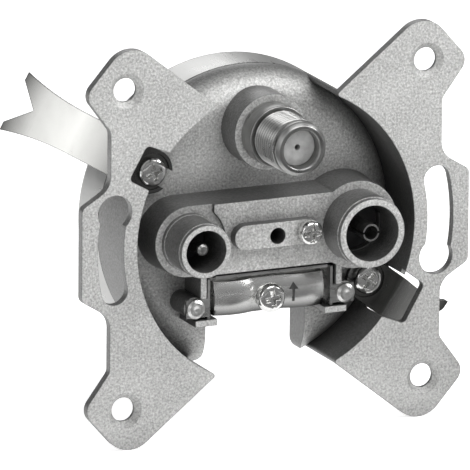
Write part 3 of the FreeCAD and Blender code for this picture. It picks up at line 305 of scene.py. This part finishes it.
def makeCastZinc(z):
    # Blasted casting: what faces forwards or back is grainy and the walls between are smooth. Its pale faces and
    # dark walls are painted light and shade, chosen by which way each surface faces.
    finish, tree, shader, place = newFinish("castZinc", z["metallic"], Specular_IOR_Level=0.5)
    front = facing(tree, (0, -1, 0), z["frontFacing"])
    back = facing(tree, (0, 1, 0), z["backFacing"])
    flat = addNode(tree, "Math", {0: front, 1: back}, operation="MAXIMUM").outputs[0]
    grain = noise(tree, place, z["grainPerMetre"], 3, 0.65)
    specks = addNode(tree, "TexVoronoi", {"Vector": place, "Scale": z["specksPerMetre"]},
                     feature="SMOOTH_F1").outputs["Distance"]
    cloud = noise(tree, place, z["cloudPerMetre"], 4)
    tones = {}
    for part in ("face", "wall"):
        low, high = z[part + "Tones"]
        greys = [grey(low), grey((low + high) / 2), grey(high)]
        grainTone = ramp(tree, grain, list(zip(z["grainStops"], greys)))
        cloudTone = ramp(tree, cloud, list(zip(z["cloudStops"], greys[::2])))
        tones[part] = mixed(tree, z["cloudShare"], grainTone, cloudTone, "RGBA")
    # Painted light and shade: the face tone where the surface faces forwards or back, the wall tone elsewhere.
    colour = mixed(tree, flat, tones["wall"], tones["face"], "RGBA")
    # Painted shade: ambient occlusion darkens the casting in recesses and near walls.
    around = addNode(tree, "AmbientOcclusion", {"Distance": z["recessShadeReach"]}, samples=8).outputs["AO"]
    shaded = mixed(tree, z["recessShadeShare"], colour, paintedShadeBlack, "RGBA")
    colour = mixed(tree, mapped(tree, around, z["recessShadeOpenness"]), shaded, colour, "RGBA")
    # Painted light falloff: the casting's tone darkens towards its lower end.
    height = addNode(tree, "SeparateXYZ", {0: place}).outputs["Z"]
    paintedLightShare = mapped(tree, height, z["paintedFalloffHeights"], (z["paintedFalloffLow"], 1))
    colour = mixed(tree, paintedLightShare, (0, 0, 0, 1), colour, "RGBA")
    tree.links.new(paintEdgeShade(tree, colour, z["bandRadius"], z["edgeShadeShare"]), shader.inputs["Base Color"])
    rough = {part: mapped(tree, grain, end=z[part + "Roughness"]) for part in tones}
    tree.links.new(mixed(tree, flat, rough["wall"], rough["face"]), shader.inputs["Roughness"])
    strength = mapped(tree, flat, end=z["bumpStrength"])
    softEdges(tree, shader, z["edgeRadius"], [(grain, strength, z["grainHeight"]),
                                              (specks, z["speckStrength"], z["speckHeight"])])
    return finish


# Tone and its spread, roughness, streaks per metre and how each axis stretches them, edge radius in mm. A tint
# stands for the plain grey. A fade is painted reflection and shade: it changes the tone with the distance from the
# can's axis, as stops of (share of 50 mm, tone). A drop is painted reflection too: it changes the tone with height,
# low and high place in mm, then the tone at each.
platedMetals = {
    "cover_steel": dict(tone=0.40, spread=0.05, roughness=0.30, scale=900, stretch=(1, 0.05, 1), edge=0.25),
    "plated_brass": dict(tone=0.34, spread=0.10, roughness=0.33, scale=2200, stretch=(0.15, 1, 0.15), edge=0.08),
    "contact_brass": dict(tone=0.55, spread=0.05, roughness=0.25, scale=1500, stretch=(1, 0.2, 1), edge=0.05,
                          tint=(0.97, 0.86, 0.6)),
    "plated_sheet": dict(tone=0.50, spread=0.10, roughness=0.30, scale=1400, stretch=(0.2, 1, 1), edge=0.12),
    "rivet_zinc": dict(tone=0.66, spread=0.14, roughness=0.36, scale=2600, stretch=(1, 1, 1), edge=0.12),
    "claw_chrome": dict(tone=0.62, spread=0.06, roughness=0.22, scale=700, stretch=(1, 1, 0.4), edge=0.2,
                        # fade stops: painted reflection and shade, bright and dark bands along the claw
                        fade=((0.0, 0.55), (0.57, 0.14), (0.63, 0.5), (0.73, 0.95), (0.84, 0.7), (0.92, 0.12))),
    "screw_chrome": dict(tone=0.70, spread=0.10, roughness=0.14, scale=1800, stretch=(1, 1, 1), edge=0.06),
    "saddle_chrome": dict(tone=0.74, spread=0.05, roughness=0.24, scale=800, stretch=(0.2, 1, 1), edge=0.14,
                          # drop: painted reflection, dark at the saddle's lower edge and pale at its top
                          drop=(-13.6, -10.2, 0.12, 1.15)),
}
plating = {
    "plainTint": (1, 1, 0.985),
    "cloudPerMetre": 180,
    "toneStops": (0.32, 0.68),
    "roughStops": (0.3, 0.7),
    "roughShares": (0.75, 1.3),
    "grooveShadeTone": (0.03, 0.03, 0.03, 1),
    # how dark the painted shade along every edge gets
    "edgeShadeShare": 0.7,
    "streakStrength": 0.12,
    "streakHeight": 0.02 * mm,
}


def makePlatedMetal(name, m, groove=None, g=plating):
    # Clouded tone and roughness with a faint drawn or turned grain. A groove is (z of the axis, inner radius, outer
    # radius): the tone falls between them as painted shade in a thread.
    finish, tree, shader, place = newFinish(name, 1.0)
    stretched = addNode(tree, "Mapping", {"Vector": place, "Scale": m["stretch"]}).outputs[0]
    streaks = noise(tree, stretched, m["scale"], 4)
    both = mixed(tree, 0.5, streaks, noise(tree, place, g["cloudPerMetre"], 3))
    tint = m.get("tint", g["plainTint"])
    levels = m["tone"] - m["spread"], m["tone"] + m["spread"]
    colours = [tuple(level * t for t in tint) + (1,) for level in levels]
    colour = ramp(tree, both, list(zip(g["toneStops"], colours)))
    # Painted reflection and shade: bands of tone set by the distance from the can's axis.
    if "fade" in m:
        paintedReflectionTone = ramp(tree, axisDistance(tree, place, scale=20), [(at, grey(tone)) for at, tone in m["fade"]])
        colour = mixed(tree, 1.0, colour, paintedReflectionTone, "RGBA", blend_type="MULTIPLY")
    # Painted reflection: the tone darkens towards the lower end.
    if "drop" in m:
        low, high, dark, pale = m["drop"]
        height = addNode(tree, "SeparateXYZ", {0: place}).outputs["Z"]
        paintedLightShare = mapped(tree, height, (low * mm, high * mm), (dark, pale))
        colour = mixed(tree, paintedLightShare, paintedShadeBlack, colour, "RGBA")
    if groove:
        level, inner, outer = groove
        shallow = mapped(tree, axisDistance(tree, place, level), (inner, outer))
        colour = mixed(tree, shallow, g["grooveShadeTone"], colour, "RGBA")
    tree.links.new(paintEdgeShade(tree, colour, m["edge"] * mm, g["edgeShadeShare"]), shader.inputs["Base Color"])
    rough = mapped(tree, both, g["roughStops"], [m["roughness"] * share for share in g["roughShares"]])
    tree.links.new(rough, shader.inputs["Roughness"])
    softEdges(tree, shader, m["edge"] * mm, [(streaks, g["streakStrength"], g["streakHeight"])])
    return finish


plastics = {
    "white_plastic": dict(colour=(0.36, 0.36, 0.355), roughness=0.38, bump=0.05),
    "dark_plastic": dict(colour=(0.022, 0.022, 0.024), roughness=0.34, bump=0.05),
    "board_laminate": dict(colour=(0.03, 0.13, 0.05), roughness=0.35, bump=0.06),
    "ferrite": dict(colour=(0.05, 0.05, 0.052), roughness=0.62, bump=0.15),
    "copper_wire": dict(colour=(0.52, 0.20, 0.08), roughness=0.26, bump=0.05, metallic=0.9),
    "ceramic": dict(colour=(0.55, 0.28, 0.08), roughness=0.3, bump=0.08),
}


def makePlastic(name, p):
    # Moulded, fired or drawn material: mottled colour with fine pits.
    finish, tree, shader, place = newFinish(name, p.get("metallic", 0.0), Specular_IOR_Level=0.5)
    pits = noise(tree, place, 5200, 2)
    dark = tuple(c * 0.8 for c in p["colour"]) + (1,)
    pale = tuple(min(1, c * 1.12) for c in p["colour"]) + (1,)
    colour = ramp(tree, noise(tree, place, 700, 4), [(0.35, dark), (0.65, pale)])
    tree.links.new(colour, shader.inputs["Base Color"])
    rough = mapped(tree, pits, end=(p["roughness"] * 0.8, p["roughness"] * 1.2))
    tree.links.new(rough, shader.inputs["Roughness"])
    softEdges(tree, shader, 0.1 * mm, [(pits, 0.3, p["bump"] * mm)])
    return finish


finishes = {"cast_zinc": makeCastZinc(castZinc)}
for slotName, numbers in platedMetals.items():
    finishes[slotName] = makePlatedMetal(slotName, numbers)
for slotName, numbers in plastics.items():
    finishes[slotName] = makePlastic(slotName, numbers)
print("finishes are mixed:", len(finishes))

slotOf = {item["node"]: item["material_slot"] for item in frame["record"]["subparts"]}
bodyOf = {node: body for body, nodes in frame["record"]["behaviour"]["bodies"].items() for node in nodes}


# Making and placing pieces

def finishMesh(mesh, sharpAngle):
    if "custom_normal" in mesh.attributes:
        mesh.attributes.remove(mesh.attributes["custom_normal"])
    work = bmesh.new()
    work.from_mesh(mesh)
    bmesh.ops.remove_doubles(work, verts=work.verts, dist=mergeDistance)
    bmesh.ops.dissolve_degenerate(work, edges=work.edges, dist=mergeDistance)
    bmesh.ops.recalc_face_normals(work, faces=work.faces)
    work.to_mesh(mesh)
    work.free()
    mesh.polygons.foreach_set("use_smooth", [True] * len(mesh.polygons))
    mesh.set_sharp_from_angle(angle=math.radians(sharpAngle))


def addPiece(name, mesh, node, sharpAngle):
    # Puts a finished mesh in the scene on a CAD node's body and with its finish.
    finishMesh(mesh, sharpAngle)
    piece = bpy.data.objects.new(name, mesh)
    bpy.context.scene.collection.objects.link(piece)
    mesh.materials.clear()
    mesh.materials.append(finishes[slotOf[node]])
    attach(piece, bodyOf[node])
    weighted = piece.modifiers.new("flatFaces", "WEIGHTED_NORMAL")
    weighted.keep_sharp = True
    weighted.weight = 100
    return piece


def gridMesh(name, points):
    # Joins a grid of points, rows x columns x 3, into four-sided faces, the last column to the first.
    rows, columns = points.shape[:2]
    index = np.arange(rows * columns).reshape(rows, columns)
    index = np.hstack([index, index[:, :1]])
    faces = np.stack([index[:-1, :-1], index[:-1, 1:], index[1:, 1:], index[1:, :-1]], axis=-1).reshape(-1, 4)
    mesh = bpy.data.meshes.new(name)
    mesh.from_pydata(points.reshape(-1, 3).tolist(), [], faces.tolist())
    return mesh


def softProfile(corners, radius, steps=4):
    # Rounds the inner corners of a profile: near a corner C the path is (1-t)^2 A + 2t(1-t) C + t^2 B.
    corners = np.array(corners, float)
    t = np.linspace(0, 1, steps + 1)[:, None]
    path = [corners[:1]]
    for before, corner, after in zip(corners[:-2], corners[1:-1], corners[2:]):
        ends = []
        for side in (before - corner, after - corner):
            length = np.linalg.norm(side)
            ends.append(corner + side * (min(radius, 0.45 * length) / max(length, 1e-9)))
        path.append((1 - t) ** 2 * ends[0] + 2 * t * (1 - t) * corner + t ** 2 * ends[1])
    path.append(corners[-1:])
    return np.vstack(path)


def turnedPoints(profile, centre, columns):
    # Each profile point (r, y) runs round an axis along Y: x = cx + r cos a, z = cz + r sin a.
    angle = np.linspace(0, 2 * math.pi, columns, endpoint=False)[None, :]
    r, y = profile[:, :1], profile[:, 1:]
    return np.stack([centre[0] + r * np.cos(angle), y + 0 * angle, centre[1] + r * np.sin(angle)], axis=-1)


def nodeCopy(node, name):
    mesh = frame["nodes"][node].data.copy()
    mesh.name = name
    return mesh


# Screws

screws = {  # head height, shank radius, thread pitch, turn of the cross in degrees
    "claw_screw_upper": dict(head=1.5, shank=1.45, pitch=0.5, turn=18),
    "claw_screw_lower": dict(head=1.5, shank=1.45, pitch=0.5, turn=52),
    "clamp_screw": dict(head=1.7, shank=1.45, pitch=0.5, turn=8),
    "pad_screw": dict(head=1.9, shank=1.0, pitch=0.4, turn=0),
}
screwForm = {
    "columns": 112,
    "crownRows": 26,
    "crownRise": 0.03,
    # The head's side as shares of its radius and height, then the tip as shares of the shank's radius.
    "side": ((0.62, 0.012), (0.88, 0.14), (1, 0.45), (1, 0.95), (0.97, 1)),
    "sideRound": 0.3 * mm,
    "tip": ((0.84, -1), (0.6, -0.1), (0.5, 0), (0, 0)),
    "tipLength": 1.2,
    "neck": (0.9, 0.6),  # share of the shank, share of a pitch under the head
    "threadDepth": 0.16,
    "rowsPerTurn": 6,
    "armHalf": 0.42 * mm,
    "armReach": 1.45 * mm,
    "crossDepth": 0.95 * mm,
    "crossDraft": 0.16 * mm,
    "crossRim": 0.55,  # depth at an arm's end, as a share of that in the middle
    "crossRows": 5,  # rows of the head's side that the cross still cuts
}


def makeScrew(node, s, f):
    # Pan head, thread and tip as one turned profile. The crown sinks as r^2 and the thread's radius is
    # shank (1 - depth |2 (y / pitch mod 1) - 1|). The cross is a pocket whose depth grows inwards from its edge.
    low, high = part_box(node)
    cx, cz = (low[0] + high[0]) / 2, (low[2] + high[2]) / 2
    top, tip = low[1], high[1]
    radius, head, shank, pitch = (high[0] - low[0]) / 2, s["head"] * mm, s["shank"] * mm, s["pitch"] * mm
    under = top + head
    flat = np.linspace(0, f["side"][0][0] * radius, f["crownRows"])
    crown = np.stack([flat, top + f["crownRise"] * head * (flat / radius) ** 2], axis=1)
    side = [(out * radius, top + down * head) for out, down in f["side"]] + [(shank, under)]
    depth = np.arange(under + pitch, tip - f["tipLength"] * shank, pitch / f["rowsPerTurn"])
    ripple = np.abs(((depth - under) / pitch) % 1 - 0.5) * 2
    thread = np.stack([shank * (1 - f["threadDepth"] * ripple), depth], axis=1)
    neck = [(f["neck"][0] * shank, under + f["neck"][1] * pitch)]
    end = [(out * shank, tip + before * shank) for out, before in f["tip"]]
    profile = np.vstack([crown[:-1], softProfile(side, f["sideRound"]), neck, thread, end])
    points = turnedPoints(profile, (cx, cz), f["columns"])
    turn = math.radians(s["turn"])
    x, z = points[..., 0] - cx, points[..., 2] - cz
    along, across = np.abs(x * math.cos(turn) + z * math.sin(turn)), np.abs(z * math.cos(turn) - x * math.sin(turn))
    arms = [np.minimum(f["armReach"] - a, f["armHalf"] - b) for a, b in ((along, across), (across, along))]
    inset = np.clip(np.maximum(*arms) / f["crossDraft"], 0, 1)
    inset *= f["crossRim"] + (1 - f["crossRim"]) * np.clip(1 - np.hypot(x, z) / f["armReach"], 0, 1)
    onTop = (np.arange(len(profile)) < len(crown) + f["crossRows"])[:, None]
    points[..., 1] += np.where(onTop, f["crossDepth"] * inset, 0)
    piece = addPiece(node + "_turned", gridMesh(node, points), node, 50)
    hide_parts(node)


for node, numbers in screws.items():
    makeScrew(node, numbers, screwForm)
print("screws are turned")


# The threaded port

threadedPort = {  # in mm
    "centre": (0, 17.2),
    "columns": 120,
    "corner": 0.12,
    "bore": 3.2,
    "boreLead": ((0, 0.35), (0.3, 0)),  # (outside the bore, behind the tip)
    "tipEdge": ((-0.75, 0), (-0.1, 0.65), (-0.1, 1.3)),  # (outside the thread, behind the tip)
    "threadFrom": 1.32,
    "threadRadius": 4.76,
    "threadDepth": 0.45,
    "pitch": 25.4 / 32,
    "rowsPerTurn": 9,
    "veeGain": 1.25,
    "veeFlat": 0.12,
    "runOut": 0.35,  # over which the thread sinks to its root before the collar
    "plainFrom": -9.2,
    "plainBlend": 0.3,
    "plainRings": ((-10.0, 0.26), (-9.3, 0.26)),  # wider grooves near the tip: place, depth
    "ringWidth": 0.2,
    "collarRadius": 5.35,
    "collarFront": -2.3,
    "collarInner": 0.5,
    "collarBevel": 0.15,
    "seat": 1.4,
    "spigotRadius": 4.2,
    "metal": dict(tone=0.42, spread=0.10, roughness=0.30, scale=2200, stretch=(0.15, 1, 0.15), edge=0.03),
}


def makeThreadedBarrel(p):
    # A turned barrel. Along the thread its radius falls by depth clip(gain (1 - |2 phase - 1|) - flat, 0, 1), where
    # phase is y / pitch - angle / turn. Near the tip, rings depth exp(-((y - place) / width)^2) take its place.
    low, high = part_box("f_barrel")
    tip, back = low[1] / mm, high[1] / mm
    thread, collar, collarFront = p["threadRadius"], p["collarRadius"], p["collarFront"]
    front = [(p["bore"], back)] + [(p["bore"] + out, tip + behind) for out, behind in p["boreLead"]]
    front = softProfile(front + [(thread + out, tip + behind) for out, behind in p["tipEdge"]], p["corner"])
    run = np.arange(tip + p["threadFrom"], collarFront - 0.02, p["pitch"] / p["rowsPerTurn"])
    threaded = np.stack([np.full(len(run), thread), run], axis=1)
    rear = softProfile([
        (thread - p["collarInner"], collarFront), (collar - p["collarBevel"], collarFront),
        (collar, collarFront + p["collarBevel"]), (collar, p["seat"]), (p["spigotRadius"], p["seat"]),
        (p["spigotRadius"], back), (p["bore"], back)], p["corner"])
    profile = np.vstack([front, threaded, rear])
    cx, cz = p["centre"][0] * mm, p["centre"][1] * mm
    points = turnedPoints(profile * mm, (cx, cz), p["columns"])
    rows = np.arange(len(profile))
    onThread = (rows >= len(front)) & (rows < len(front) + len(run))
    y = profile[:, 1:]
    angle = np.arange(p["columns"])[None, :] / p["columns"]
    phase = (y / p["pitch"] - angle) % 1
    vee = np.clip(p["veeGain"] * (1 - np.abs(2 * phase - 1)) - p["veeFlat"], 0, 1) * p["threadDepth"]
    rings = sum(depth * np.exp(-((y - at) / p["ringWidth"]) ** 2) for at, depth in p["plainRings"]) + 0 * angle
    plain = np.clip((p["plainFrom"] - y) / p["plainBlend"], 0, 1)
    fade = np.clip((collarFront - y) / p["runOut"], 0, 1)
    cut = (vee * (1 - plain) + rings * plain) * fade + p["threadDepth"] * (1 - fade)
    x, z = points[..., 0] - cx, points[..., 2] - cz
    scale = 1 - np.where(onThread[:, None], cut, 0) * mm / np.hypot(x, z)
    points[..., 0], points[..., 2] = cx + x * scale, cz + z * scale
    piece = addPiece("threaded_barrel", gridMesh("threaded_barrel", points), "f_barrel", 45)
    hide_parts("f_barrel")
    # The thread's grooves get painted shade.
    groove = (cz, (thread - p["threadDepth"]) * mm, thread * mm)
    piece.data.materials.append(makePlatedMetal("threadBrass", p["metal"], groove))
    row = np.repeat(rows[:-1], p["columns"])
    piece.data.polygons.foreach_set("material_index", onThread[row].astype(int).tolist())


makeThreadedBarrel(threadedPort)
print("threaded port is cut")


# The clamp's saddle

saddle = {  # in mm
    "bow": 0.75,  # how far its long edges lean back
    "strips": 14,
    "face": 1.2,
    "bulge": (6.5, 3.6, 0.7),  # middle, half width and rise of the bulge over each cable
    "arrowPlace": (4.3, -10.9),
    "arrow": ((0, 1.75), (0.8, 0.55), (0.2, 0.55), (0.2, -1.6), (-0.2, -1.6), (-0.2, 0.55), (-0.8, 0.55)),
    "arrowLifts": (-0.1, 0.16),  # its back below the saddle's front, and its front above
    # the arrow's finish: the saddle's chrome made darker, as painted shade
    "arrowShadedMetal": dict(tone=0.16, spread=0.04, roughness=0.3, scale=900, stretch=(1, 1, 1), edge=0.02),
}


def saddleFront(x, z, s, middle, half):
    # Front of the saddle: face - rise (1 - u^2) over a cable, u across its bulge, plus bow v^2, v up the bar.
    centre, reach, rise = s["bulge"]
    u = np.clip((abs(x) - centre) / reach, -1, 1)
    return s["face"] - rise * (1 - u * u) + s["bow"] * ((z - middle) / half) ** 2


def makeSaddle(s):
    low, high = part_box("clamp_saddle")
    middle, half = (low[2] + high[2]) / 2, (high[2] - low[2]) / 2
    mesh = nodeCopy("clamp_saddle", "bowed_saddle")
    work = bmesh.new()
    work.from_mesh(mesh)
    bmesh.ops.remove_doubles(work, verts=work.verts, dist=mergeDistance)
    for level in np.linspace(low[2], high[2], s["strips"] + 1)[1:-1]:
        parts = work.verts[:] + work.edges[:] + work.faces[:]
        bmesh.ops.bisect_plane(work, geom=parts, plane_co=(0, 0, level), plane_no=(0, 0, 1), dist=cutTolerance)
    for point in work.verts:
        point.co.y += s["bow"] * mm * ((point.co.z - middle) / half) ** 2
    work.to_mesh(mesh)
    work.free()
    piece = addPiece("bowed_saddle", mesh, "clamp_saddle", 32)
    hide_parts("clamp_saddle")
    x0, z0 = s["arrowPlace"]
    rim = [(x0 + x, z0 + z) for x, z in s["arrow"]]
    points = []
    for lift in s["arrowLifts"]:
        points += [(x * mm, (saddleFront(x, z, s, middle / mm, half / mm) - lift) * mm, z * mm) for x, z in rim]
    count = len(rim)
    sides = [(n, (n + 1) % count, count + (n + 1) % count, count + n) for n in range(count)]
    caps = [(0, 1, 6), (2, 3, 4, 5), (1, 2, 5, 6)]
    faces = sides + [tuple(n + count for n in cap) for cap in caps] + [cap[::-1] for cap in caps]
    mesh = bpy.data.meshes.new("saddle_arrow")
    mesh.from_pydata(points, [], faces)
    arrow = addPiece("saddle_arrow", mesh, "clamp_saddle", 20)
    # Painted shade: the arrow gets a darker chrome than the saddle it is stamped in.
    arrow.data.materials[0] = makePlatedMetal("arrowShadedChrome", s["arrowShadedMetal"])


makeSaddle(saddle)
print("saddle is bowed")


# Everything that keeps its CAD shape

made = set(screws) | {"f_barrel", "clamp_saddle"}
for node in slotOf:
    if node not in made:
        piece = addPiece(node + "_skin", nodeCopy(node, node + "_skin"), node, 25)
        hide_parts(node)
print("the other pieces are dressed")
